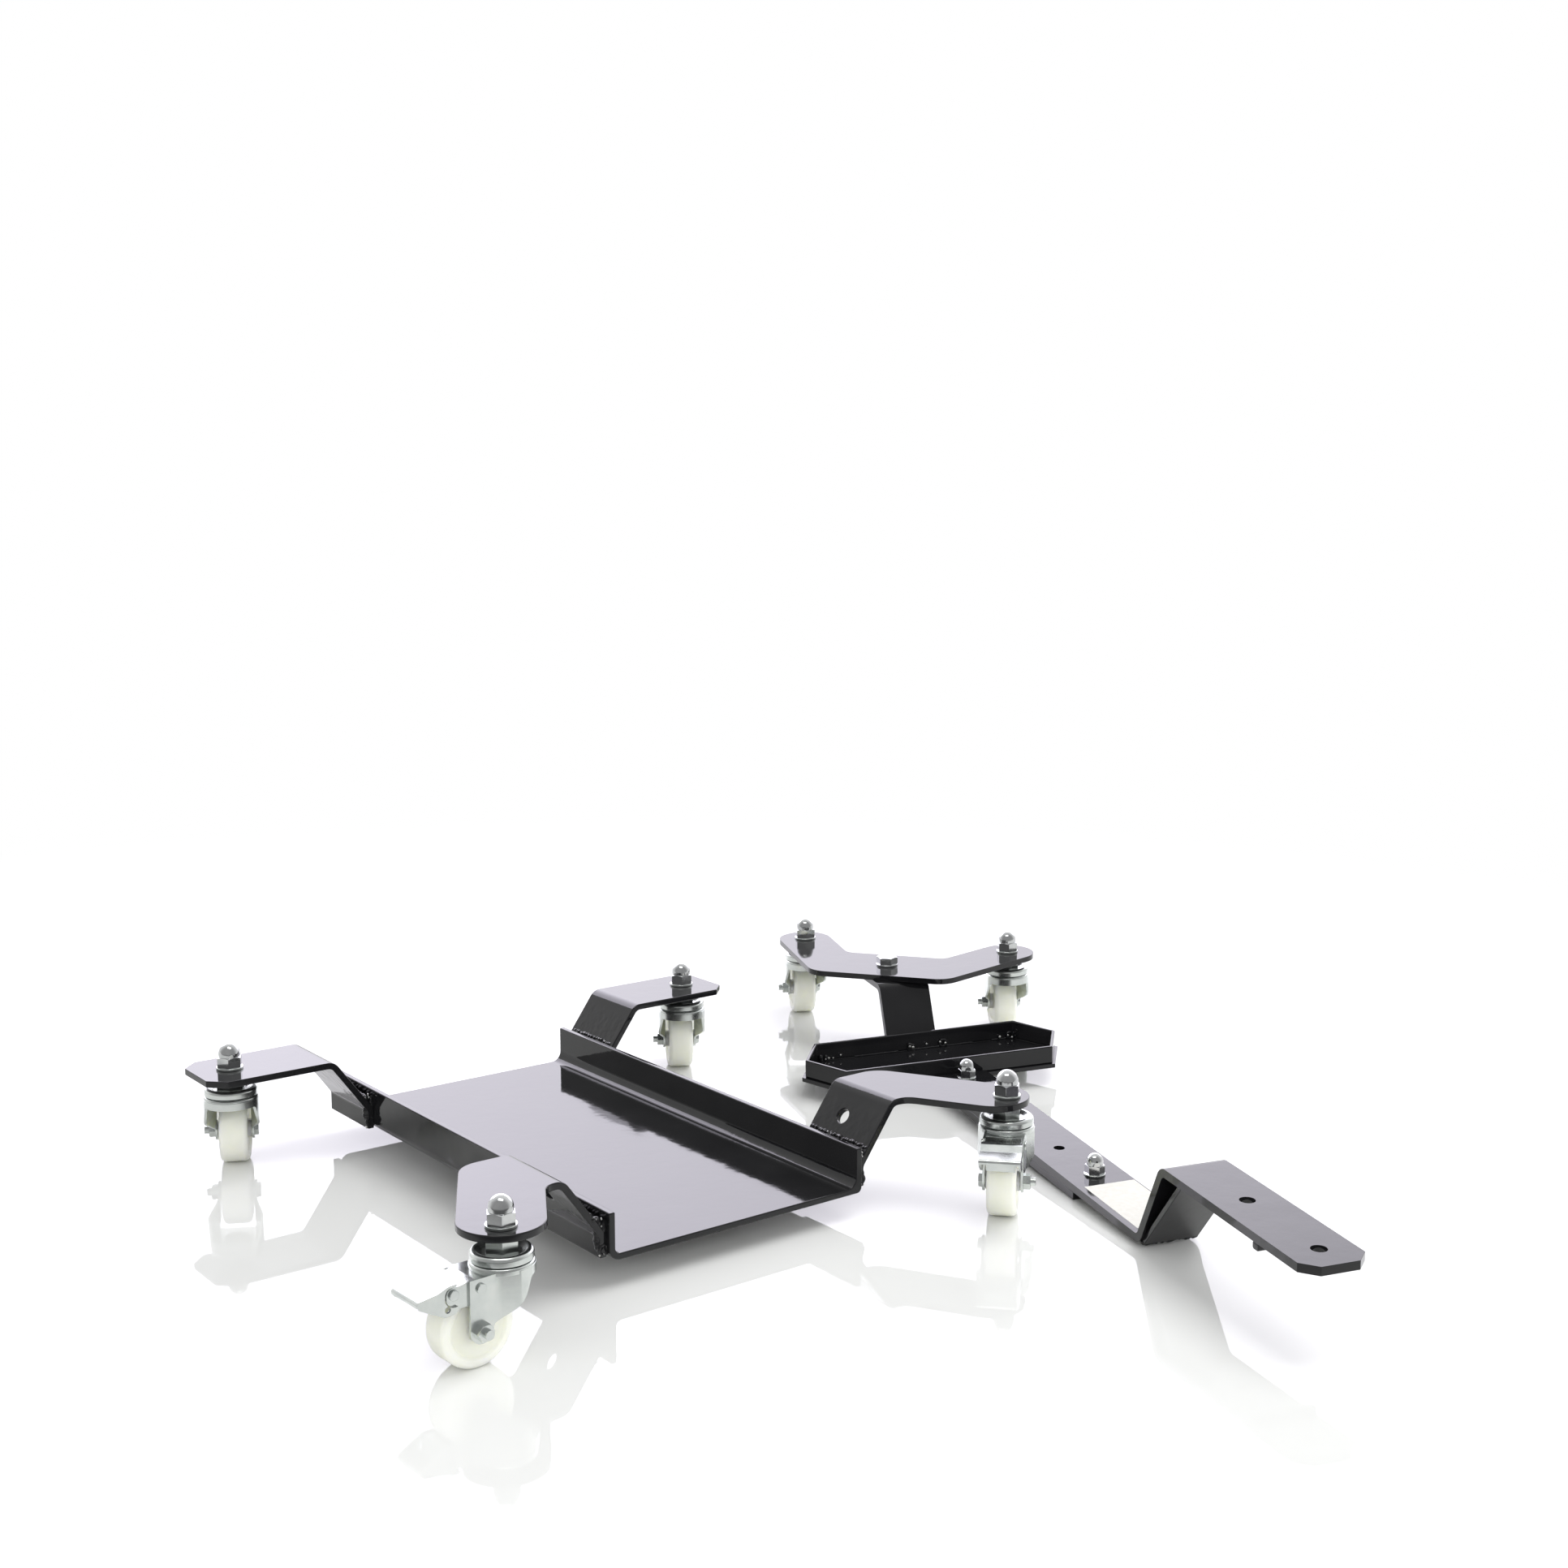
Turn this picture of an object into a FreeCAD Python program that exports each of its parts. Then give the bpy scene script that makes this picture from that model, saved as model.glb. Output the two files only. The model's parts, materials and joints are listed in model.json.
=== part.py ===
import FreeCAD, Part
import os
from math import asin, atan2, cos, degrees, hypot, pi, radians, sin, tan

Vector = FreeCAD.Vector
Placement = FreeCAD.Placement
Rotation = FreeCAD.Rotation

# Sizes are millimetres and degrees. Heights are measured up from the ground.
# The origin of the finished part is the middle of the wheel tray's floor.

# General fits
running_gap = 0.3        # between faces that move past each other
bolt_gap = 0.25          # around a bolt in its hole, on the radius
snug_gap = 0.05          # around a pin or bush, on the radius
turning_gap = 0.08       # around a pin that a piece turns on, on the radius
overrun = 20             # how far a cutter passes the piece it cuts
same_point = 0.000001    # ends closer than this need no line between them

# Wheel tray, one sheet folded into a shallow channel
tray_length = 400
tray_width = 212         # over the two flanges
tray_sheet = 4.5
tray_underside = 18.5
tray_rim = 51.5          # top edge of the flanges
tray_bend = 4            # inside radius of the folds

# Arms, bent flat bar welded to the outside of the flanges
arm_sheet = 5
arm_bend = 6             # inside radius of the bends
arm_foot = 21            # lower edge of the leg
arm_knee = 37            # where the leg leaves the flange
arm_run = 31             # from the flange out to the upper bend
front_arm_inset = 4      # front edge of a front arm, behind the tray's front end
front_arm_width = 66
front_splay = 30         # how far the front plates turn outwards from straight ahead
front_plate_width = 55.5
front_end_inset = 11.8   # from the stem back to the centre of the round end
front_heel_radius = 22
front_throat_radius = 12
rear_arm_width = 65
rear_end_margin = 27     # from the stem to the end edge
rear_corner_cut = 12
slope_hole = 11.5        # spare hole in the slope of each front arm
slope_hole_back = 6      # behind the middle of the arm
slope_hole_share = 0.555 # how far up the slope the hole lies

# Castor positions on the tray unit
rear_stem_inset = 31.5   # ahead of the tray's rear end
rear_stem_side = 207
front_stem_reach = 40    # ahead of the tray's front end
front_stem_side = 208

# Castor wheel, turning on a bush
wheel_diameter = 50
wheel_width = 21
wheel_edge_radius = 3.5
wheel_trail = 23.5       # axle behind the stem
hub_diameter = 14
web_diameter = 36
web_inset = 1.6          # how far the wheel's side is dished
web_fillet = 1
bush_diameter = 9
axle_diameter = 6
axle_head_across = 10
axle_head_height = 3
axle_nut_height = 5
axle_tip = 3.5           # bolt end past the nut

# Castor fork, pressed from sheet
fork_sheet = 1.8
leg_gap = 25.4           # between the fork legs at the axle
leg_tongue = 16          # width of a fork leg at the axle
leg_front = 13           # where the legs become parallel, behind the stem
leg_blend = 14           # radius where they do
tongue_shoulder = 2      # straight front edge of the tongue above the axle
tongue_fillet = 3
fork_round = 20.4        # radius of the fork's round front
fork_roof_rise = 7.5     # top of the fork's flat roof, above the wheel
fork_roof_back = 27      # rear edge of the roof, behind the stem
fork_skirt_drop = 5.5    # lower edge of the round front, below the roof
fork_brow = 9            # where the skirt meets the legs, ahead of the stem
fork_brow_radius = 3
fork_waist = 3           # bend of the legs' front edge, ahead of the stem
fork_waist_drop = 20     # below the roof
fork_waist_radius = 25
crown_radius = 20.2
crown_rise = 2.3         # above the fork's roof
crown_floor_rise = 0.7
crown_rim = 3            # width of the raised rim round the ball race
crown_round = 1.8

# Castor cap, balls and stem
cap_radius = 19.6
cap_gap = 0.6            # between crown and cap
cap_crest_rise = 5.9     # above the cap's foot
cap_floor_rise = 3.6
cap_floor_radius = 12.5
cap_crest_radius = 16
cap_sheet = 1.5
cap_bend = 1.2           # inside radius round the floor
cap_crest_bend = 0.7     # inside radius of the rolled rim, towards the floor
cap_rim_bend = 1.3       # and towards the outside
ball_diameter = 3.8
ball_circle = 25
ball_count = 8
stem_diameter = 10
stem_shank = 12          # plain length through cap and fork
stem_foot = 19           # riveted foot under the fork's roof
stem_foot_height = 2.6
collar_across = 19
collar_height = 10.4     # from the cap's floor to the plate above

# Dome nuts and washers on the castor stems
stem_nut_across = 17
stem_nut_hex = 8
stem_nut_dome = 16
stem_nut_height = 18
stem_thread_depth = 11
stem_washer = 20
stem_washer_height = 2

# Foot brake of the two front castors
brake_sheet = 1.2
bracket_front = 19       # front edge of the bracket's sides, between the fork legs
bracket_strip_back = 37.4   # rear edge of the strip that ties the bracket's sides
bracket_strip_fall = 1.6    # how far the strip slopes down to its rear edge
bracket_low_drop = 15.5     # lower edge, below the fork's roof
bracket_low_back = 39    # where the lower edge starts to rise
bracket_end_radius = 4.6
brake_pivot_back = 41.6
brake_pivot_drop = 6.1   # below the fork's roof
brake_rivet_back = 23.9
brake_rivet = 4
brake_rivet_head = 6.4
brake_rivet_head_height = 1.6
pedal_sheet = 1.6
pedal_width = 29
pedal_front = 40.5       # front edge of the tread; heights of the pedal are from its pivot
pedal_front_rise = 7.1
pedal_crest_back = 45.5  # the tread is nearly level to here, then falls
pedal_crest_rise = 7
pedal_foot_back = 53     # the fall eases off here
pedal_foot_rise = 4.2
pedal_tip_back = 67
pedal_tip_rise = 2.4
pedal_tread_bend = 5
pedal_lip = 3.2          # turned down edge at the tip
pedal_bend = 0.8
pedal_flange_drop = 11.2
pedal_flange_low_back = 49  # where the flange's lower edge starts to rise to the tip
pedal_flange_tip_drop = 2.6
pedal_flange_radius = 3
pedal_hook_front = 39.4  # the flange reaches forward under the pivot
pedal_hook_drop = 9.4
pedal_slot_radius = 6.9  # clear round the bracket's end
pedal_slot_end = 4       # round end of the slot
pedal_slot_end_back = 46.5
pedal_slot_end_drop = 7.2
pedal_lug_radius = 4.6
pedal_shoe_back = 50.5
pedal_shoe_drop = 11
pedal_shoe_tip = 46
pedal_shoe_width = 20

# Bars of the stand arm, in its level frame: x along the bar from the pivot bolt, y across
bar_width = 47
lower_bar_sheet = 6
upper_bar_sheet = 6
bar_bend = 5
bar_underside = 16.9     # low part of the arm, when it stands level
lower_bar_tail = 35      # behind the pivot bolt
lower_bar_brow = 41      # upper bend of the riser
lower_bar_heel = 62      # lower bend of the riser
lower_bar_end = 423
upper_bar_start = 167
upper_bar_heel = 517.5
upper_bar_brow = 546.5
upper_bar_end = 720
hook_top = 88.4          # when it stands level
hook_corner_cut = 10
hook_hole = 10.5
hook_hole_start = 617
hook_hole_pitch = 80
hook_hole_count = 2
brace_sheet = 4
brace_width = 42
brace_foot = 523.5
brace_top = 572
stop_bar_at = 664.5
stop_bar_width = 7
stop_bar_depth = 5
stop_bar_round = 2

# Bolts that hold the two bars together
bar_bolt_start = 180
bar_hole_pitch = 57.75
bar_hole_count = 5
bar_bolt = 8
bar_bolt_head = 15.5
bar_nut_across = 13
bar_nut_hex = 6.5
bar_nut_dome = 12.5
bar_nut_height = 15
bar_thread_depth = 9
bar_washer = 16
bar_washer_height = 1.6

# Stand tray, a shallow box with pointed ends across the lower bar
stand_tray_at = 124
stand_tray_shift = -7    # to the side of the bar's middle
stand_tray_width = 80
stand_tray_straight = 190
stand_tray_reach = 234   # tip to tip
stand_tray_base = 3.5
stand_tray_lip = 2.5     # base past the wall
stand_tray_wall = 3
stand_tray_wall_height = 15
stand_floor_sink = 0.3   # floor inside the wall, below the lip
stand_floor_margin = 0.5 # from the wall to the sunk floor

# Boomerang plate with two castors, turning on the pivot bolt
boom_sheet = 5
plate_gap = 0.05         # between the plate and the bar that it turns on
boom_stem_gap = 197      # between the two castor stems
boom_stem_back = 72      # stems behind the pivot bolt
boom_end_radius = 24.5
boom_wing_turn = 58.6    # wings from the line between the stems
boom_waist = 68          # width of the middle
boom_corner_radius = 22
boom_throat_radius = 12
boom_turn = -35.3        # from square to the bar, as it stands in the photo
pivot_bolt = 10
pivot_head_across = 17
pivot_head_height = 6.4
pivot_washer = 20
pivot_washer_height = 2
pivot_nut_height = 8
pivot_tip = 2.5

# How the stand arm stands beside the tray
stand_heading = -18.8
stand_foot_x = -125.6
stand_foot_y = 408.6

# Which way each castor trails, from straight ahead
front_left_trail = 273
front_right_trail = -48
rear_left_trail = 152
rear_right_trail = 151
stand_near_trail = 151
stand_far_trail = 148

# Sizes that follow from those above
tray_floor = tray_underside + tray_sheet
fork_roof = wheel_diameter + fork_roof_rise
fork_skirt = fork_roof - fork_skirt_drop
fork_waist_height = fork_roof - fork_waist_drop
crown_height = fork_roof + crown_rise
crown_floor = fork_roof + crown_floor_rise
cap_foot = crown_height + cap_gap
cap_crest = cap_foot + cap_crest_rise
cap_floor = cap_foot + cap_floor_rise
castor_height = cap_floor + collar_height   # ground to the underside of the plate it is bolted to
bracket_low = fork_roof - bracket_low_drop
brake_pivot_height = fork_roof - brake_pivot_drop
arm_top = castor_height + arm_sheet
flange_face = tray_width / 2
front_arm_front = tray_length / 2 - front_arm_inset
front_arm_back = front_arm_front - front_arm_width
front_stem_ahead = tray_length / 2 + front_stem_reach
rear_stem_back = tray_length / 2 - rear_stem_inset
axle_height = wheel_diameter / 2
leg_face = leg_gap / 2 + fork_sheet
leg_back = wheel_trail + leg_tongue / 2
bracket_inside = leg_gap - 2 * brake_sheet
pedal_inside = bracket_inside - 2 * running_gap
lower_bar_top = bar_underside + lower_bar_sheet
upper_bar_top = lower_bar_top + upper_bar_sheet
hook_underside = hook_top - upper_bar_sheet
boom_top = castor_height + boom_sheet
bar_brow_top = castor_height - plate_gap
stand_floor = lower_bar_top + stand_tray_base - stand_floor_sink

along = Vector(1, 0, 0)
across = Vector(0, 1, 0)
up = Vector(0, 0, 1)
quarter_turn = 90
half_turn = 180
full_turn = 360
hex_sides = 6
sharp_corners = 2        # the way an outline grows round its corners


# A closed wire from corners (x, y, radius), each rounded by its own radius.
def rounded_wire(corners):
    spans = []
    for index, (x, y, radius) in enumerate(corners):
        here = Vector(x, y, 0)
        ahead = corners[(index + 1) % len(corners)]
        before = Vector(corners[index - 1][0], corners[index - 1][1], 0) - here
        after = Vector(ahead[0], ahead[1], 0) - here
        half = before.getAngle(after) / 2
        before.normalize()
        after.normalize()
        if radius:
            reach = radius / tan(half)
            crest = here + (before + after).normalize() * (radius / sin(half) - radius)
            spans.append((here + before * reach, crest, here + after * reach))
        else:
            spans.append((here, None, here))
    edges = []
    for index, (start, crest, finish) in enumerate(spans):
        if crest:
            edges.append(Part.Arc(start, crest, finish).toShape())
        following = spans[(index + 1) % len(spans)][0]
        if (following - finish).Length > same_point:
            edges.append(Part.LineSegment(finish, following).toShape())
    return Part.Wire(edges)


# Corners of a sheet bent along a path, which is its left face as the path runs. Each corner has its own bend.
def sheet_corners(path, thickness, bends):
    left = []
    right = []
    last = len(path) - 1
    for index, (x, y) in enumerate(path):
        entry = max(index, 1)
        leave = min(index, last - 1)
        into = atan2(path[entry][1] - path[entry - 1][1], path[entry][0] - path[entry - 1][0])
        out = atan2(path[leave + 1][1] - path[leave][1], path[leave + 1][0] - path[leave][0])
        turn = out - into
        step = thickness / cos(turn / 2)
        mitre = (into + out) / 2
        inner = bends[index] if turn else 0
        outer = inner + thickness if inner else 0
        left.append((x, y, inner if turn > 0 else outer))
        right.append((x + step * sin(mitre), y - step * cos(mitre), outer if turn > 0 else inner))
    return left + right[::-1]


# A plate with a plan outline, from a height upwards.
def plate(corners, bottom, thickness):
    solid = Part.Face(rounded_wire(corners)).extrude(up * thickness)
    solid.translate(up * bottom)
    return solid


# A profile (x, height, radius) pulled out evenly to both sides of the x-z plane.
def pulled_across(corners, width):
    solid = Part.Face(rounded_wire(corners)).extrude(up * width)
    solid.translate(up * -width / 2)
    solid.rotate(Vector(), along, quarter_turn)
    return solid


# A profile (y, height, radius) pulled along x from a start.
def pulled_along(corners, start, length):
    solid = Part.Face(rounded_wire(corners)).extrude(up * length)
    solid.rotate(Vector(), along, quarter_turn)
    solid.rotate(Vector(), up, quarter_turn)
    solid.translate(along * start)
    return solid


# A profile (radius, height, rounding) turned about the vertical axis.
def turned(corners):
    face = Part.Face(rounded_wire(corners))
    face.rotate(Vector(), along, quarter_turn)
    return face.revolve(Vector(), up, full_turn)


def rod(diameter, bottom, top):
    return Part.makeCylinder(diameter / 2, top - bottom, up * bottom)


def ring(outer, bore, bottom, height):
    return rod(outer, bottom, bottom + height).cut(rod(bore, bottom - overrun, bottom + height + overrun))


# A six sided bar with its top corners turned off.
def hex_head(width, bottom, height):
    flat = width / 2
    corner = flat / cos(pi / hex_sides)
    corners = []
    for side in range(hex_sides):
        angle = 2 * pi * side / hex_sides
        corners.append((corner * cos(angle), corner * sin(angle), 0))
    bevel = (corner - flat) * tan(pi / hex_sides)
    blank = turned([(0, bottom, 0), (corner, bottom, 0), (corner, bottom + height - bevel, 0),
                    (flat, bottom + height, 0), (0, bottom + height, 0)])
    return plate(corners, bottom, height).common(blank)


# A dome nut standing on a height, bored for its thread.
def dome_nut(width, hex_height, dome, height, thread, depth, bottom):
    body = hex_head(width, bottom, hex_height)
    crest = bottom + height
    half = dome / 2
    body = body.fuse(turned([(0, bottom, 0), (half, bottom, 0), (half, crest, half), (0, crest, 0)]))
    return body.cut(rod(thread + 2 * snug_gap, bottom - overrun, bottom + depth + bolt_gap)).removeSplitter()


def moved(shape, placement):
    copy = shape.copy()
    copy.Placement = placement.multiply(copy.Placement)
    return copy


nodes = {}


# Adds solids to a node, placed in the ground frame.
def add(node, shapes, placement=Placement()):
    for shape in shapes:
        nodes.setdefault(node, []).append(moved(shape, placement))


# Wheel tray
def wheel_tray():
    half = tray_width / 2
    path = [(half, tray_rim), (half, tray_underside), (-half, tray_underside), (-half, tray_rim)]
    channel = sheet_corners(path, tray_sheet, [tray_bend] * len(path))
    return pulled_along(channel, -tray_length / 2, tray_length)


# Bent sheet that an arm on the right side is cut from.
def arm_blank(start, length, reach):
    path = [(flange_face, arm_foot), (flange_face, arm_knee), (flange_face + arm_run, arm_top),
            (reach, arm_top)]
    return pulled_along(sheet_corners(path, arm_sheet, [arm_bend] * len(path)), start, length)


def front_arm():
    ahead = Vector(cos(radians(front_splay)), sin(radians(front_splay)), 0)
    aside = Vector(-ahead.y, ahead.x, 0)
    half = front_plate_width / 2
    stem = Vector(front_stem_ahead, front_stem_side, 0)
    centre = stem - ahead * front_end_inset
    outer = centre + aside * half
    inner = centre - aside * half
    heel = outer - ahead * ((outer.x - front_arm_back) / ahead.x)
    throat = inner - ahead * ((inner.x - front_arm_front) / ahead.x)
    inner_end = inner + ahead * half
    outer_end = outer + ahead * half
    root = flange_face - overrun
    plan = [(front_arm_back, root, 0), (front_arm_front, root, 0), (throat.x, throat.y, front_throat_radius),
            (inner_end.x, inner_end.y, half), (outer_end.x, outer_end.y, half),
            (heel.x, heel.y, front_heel_radius)]
    reach = front_stem_side + front_plate_width
    blank = arm_blank(front_arm_back - overrun, reach, reach)
    arm = blank.common(plate(plan, 0, arm_top + overrun))
    arm = arm.cut(stem_hole(stem))
    rise = arm_top - arm_knee
    spot = Vector(front_arm_back + front_arm_width / 2 - slope_hole_back,
                  flange_face + arm_run * slope_hole_share, arm_knee + rise * slope_hole_share)
    normal = Vector(0, -rise, arm_run).normalize()
    drill = Part.makeCylinder(slope_hole / 2, 2 * overrun, spot - normal * overrun, normal)
    return arm.cut(drill)


def rear_arm():
    end = rear_stem_side + rear_end_margin
    front = -rear_stem_back + rear_arm_width / 2
    back = -rear_stem_back - rear_arm_width / 2
    root = flange_face - overrun
    corner = end - rear_corner_cut
    plan = [(back, root, 0), (front, root, 0), (front, corner, 0), (front - rear_corner_cut, end, 0),
            (back + rear_corner_cut, end, 0), (back, corner, 0)]
    arm = arm_blank(back - overrun, rear_arm_width + 2 * overrun, end + overrun)
    arm = arm.common(plate(plan, 0, arm_top + overrun))
    return arm.cut(stem_hole(Vector(-rear_stem_back, rear_stem_side, 0)))


def stem_hole(stem):
    hole = rod(stem_diameter + 2 * bolt_gap, castor_height - overrun, arm_top + overrun)
    hole.translate(stem)
    return hole


# Castor pieces, in a frame with the stem upright at the origin and the wheel trailing along x
def on_axle(shape):
    shape.rotate(Vector(), along, -quarter_turn)
    shape.translate(Vector(wheel_trail, 0, axle_height))
    return shape


def castor_wheel():
    rim = wheel_width / 2
    hub = leg_gap / 2 - running_gap
    web = rim - web_inset
    bore = bush_diameter / 2 + snug_gap
    radius = wheel_diameter / 2
    half = [(hub_diameter / 2, hub, web_fillet), (hub_diameter / 2, web, web_fillet),
            (web_diameter / 2, web, web_fillet), (web_diameter / 2 + web_inset, rim, web_fillet),
            (radius, rim, wheel_edge_radius)]
    lower = [(r, -y, rounding) for r, y, rounding in half]
    return on_axle(turned([(bore, -hub, 0)] + lower + half[::-1] + [(bore, hub, 0)]))


def axle_bush():
    return on_axle(ring(bush_diameter, axle_diameter + 2 * snug_gap, -leg_gap / 2, leg_gap))


def axle_bolt():
    shank = rod(axle_diameter, -leg_face, leg_face + axle_nut_height + axle_tip)
    head = hex_head(axle_head_across, 0, axle_head_height)
    head.rotate(Vector(), along, half_turn)
    head.translate(up * -leg_face)
    return on_axle(shank.fuse(head).removeSplitter())


def axle_nut():
    nut = hex_head(axle_head_across, leg_face, axle_nut_height)
    return on_axle(nut.cut(rod(axle_diameter + 2 * snug_gap, 0, leg_face + axle_nut_height + overrun)))


def fork_plan(inset, back):
    front = fork_round - inset
    side = leg_face - inset
    return [(-front, -front, front), (0, -front, 0), (leg_front, -side, leg_blend), (back, -side, 0),
            (back, side, 0), (leg_front, side, leg_blend), (0, front, 0), (-front, front, front)]


def fork():
    wall = plate(fork_plan(0, leg_back), 0, fork_roof)
    wall = wall.cut(plate(fork_plan(fork_sheet, leg_back + overrun), -overrun, fork_roof + 2 * overrun))
    tongue_low = axle_height - leg_tongue / 2
    tongue_front = wheel_trail - leg_tongue / 2
    nose = -fork_round - overrun
    side = [(nose, fork_roof, 0), (leg_back, fork_roof, 0), (leg_back, tongue_low, leg_tongue / 2),
            (tongue_front, tongue_low, leg_tongue / 2),
            (tongue_front, axle_height + tongue_shoulder, tongue_fillet),
            (-fork_waist, fork_waist_height, fork_waist_radius),
            (-fork_brow, fork_skirt, fork_brow_radius), (nose, fork_skirt, 0)]
    wall = wall.common(pulled_across(side, 2 * fork_round + overrun))
    roof = plate(fork_plan(0, fork_roof_back), fork_roof - fork_sheet, fork_sheet)
    bore = stem_shank / 2 + turning_gap
    race = crown_radius - crown_rim
    under = fork_roof - fork_sheet
    crown = turned([(bore, under, 0), (crown_radius, under, 0), (crown_radius, crown_height, crown_round),
                    (race, crown_height, crown_round / 2), (race, crown_floor, 0), (bore, crown_floor, 0)])
    body = wall.fuse(roof).fuse(crown).cut(rod(2 * bore, 0, crown_height + overrun))
    drill = on_axle(rod(axle_diameter + 2 * bolt_gap, -fork_round, fork_round))
    return body.cut(drill).removeSplitter()


def cap():
    path = [(stem_shank / 2 + snug_gap, cap_floor), (cap_floor_radius, cap_floor),
            (cap_crest_radius, cap_crest), (cap_radius, cap_crest), (cap_radius, cap_foot)]
    return turned(sheet_corners(path, cap_sheet, [0, cap_bend, cap_crest_bend, cap_rim_bend, 0]))


def balls():
    level = crown_floor + running_gap + ball_diameter / 2
    solids = []
    for index in range(ball_count):
        angle = 2 * pi * index / ball_count
        centre = Vector(ball_circle / 2 * cos(angle), ball_circle / 2 * sin(angle), level)
        solids.append(Part.makeSphere(ball_diameter / 2, centre))
    return solids


def stem(sheet):
    foot_top = fork_roof - fork_sheet - running_gap
    foot = rod(stem_foot, foot_top - stem_foot_height, foot_top)
    shank = rod(stem_shank, foot_top - stem_foot_height, cap_floor)
    collar = hex_head(collar_across, cap_floor, castor_height - cap_floor)
    thread = rod(stem_diameter, castor_height, castor_height + sheet + stem_washer_height + stem_thread_depth)
    return foot.fuse(shank).fuse(collar).fuse(thread).removeSplitter()


def stem_washer_ring(sheet):
    return ring(stem_washer, stem_diameter + 2 * bolt_gap, castor_height + sheet, stem_washer_height)


def stem_dome_nut(sheet):
    seat = castor_height + sheet + stem_washer_height
    return dome_nut(stem_nut_across, stem_nut_hex, stem_nut_dome, stem_nut_height, stem_diameter,
                    stem_thread_depth, seat)


# Foot brake, in the castor's frame
def pin_across(diameter, back, height, start, finish):
    return Part.makeCylinder(diameter / 2, finish - start, Vector(back, start, height), across)


def brake_bracket():
    strip_front = fork_roof_back + running_gap
    under_roof = fork_roof - fork_sheet
    end = brake_pivot_back + bracket_end_radius
    low = brake_pivot_height - bracket_end_radius
    high = brake_pivot_height + bracket_end_radius
    strip_low = fork_roof - bracket_strip_fall
    side = [(bracket_front, bracket_low, 0), (bracket_low_back, bracket_low, bracket_end_radius),
            (end, low, bracket_end_radius), (end, high, bracket_end_radius),
            (bracket_strip_back, strip_low, 0), (strip_front, fork_roof, 0), (strip_front, under_roof, 0),
            (bracket_front, under_roof, 0)]
    body = pulled_across(side, leg_gap)
    far = end + overrun
    sky = fork_roof + overrun
    hollow = [(0, 0, 0), (far, 0, 0), (far, sky, 0), (bracket_strip_back, sky, 0),
              (bracket_strip_back, strip_low - brake_sheet, 0), (strip_front, fork_roof - brake_sheet, 0),
              (strip_front, sky, 0), (0, sky, 0)]
    body = body.cut(pulled_across(hollow, bracket_inside))
    for back in (brake_rivet_back, brake_pivot_back):
        body = body.cut(pin_across(brake_rivet + 2 * snug_gap, back, brake_pivot_height, -leg_gap, leg_gap))
    return body


def brake_fork():
    bore = brake_rivet + 2 * snug_gap
    return fork().cut(pin_across(bore, brake_rivet_back, brake_pivot_height, -fork_round, fork_round))


def brake_rivets():
    solids = []
    for side in (-1, 1):
        inside = side * bracket_inside / 2
        outside = side * leg_face
        top = outside + side * brake_rivet_head_height
        low, high = min(inside, outside), max(inside, outside)
        shank = pin_across(brake_rivet, brake_rivet_back, brake_pivot_height, low, high)
        low, high = min(outside, top), max(outside, top)
        head = pin_across(brake_rivet_head, brake_rivet_back, brake_pivot_height, low, high)
        solids.append(shank.fuse(head).removeSplitter())
    face = leg_gap / 2
    end = face + brake_rivet_head_height
    pin = pin_across(brake_rivet, brake_pivot_back, brake_pivot_height, -face, face)
    for start, finish in ((-end, -face), (face, end)):
        pin = pin.fuse(pin_across(brake_rivet_head, brake_pivot_back, brake_pivot_height, start, finish))
    solids.append(pin.removeSplitter())
    return solids


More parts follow.
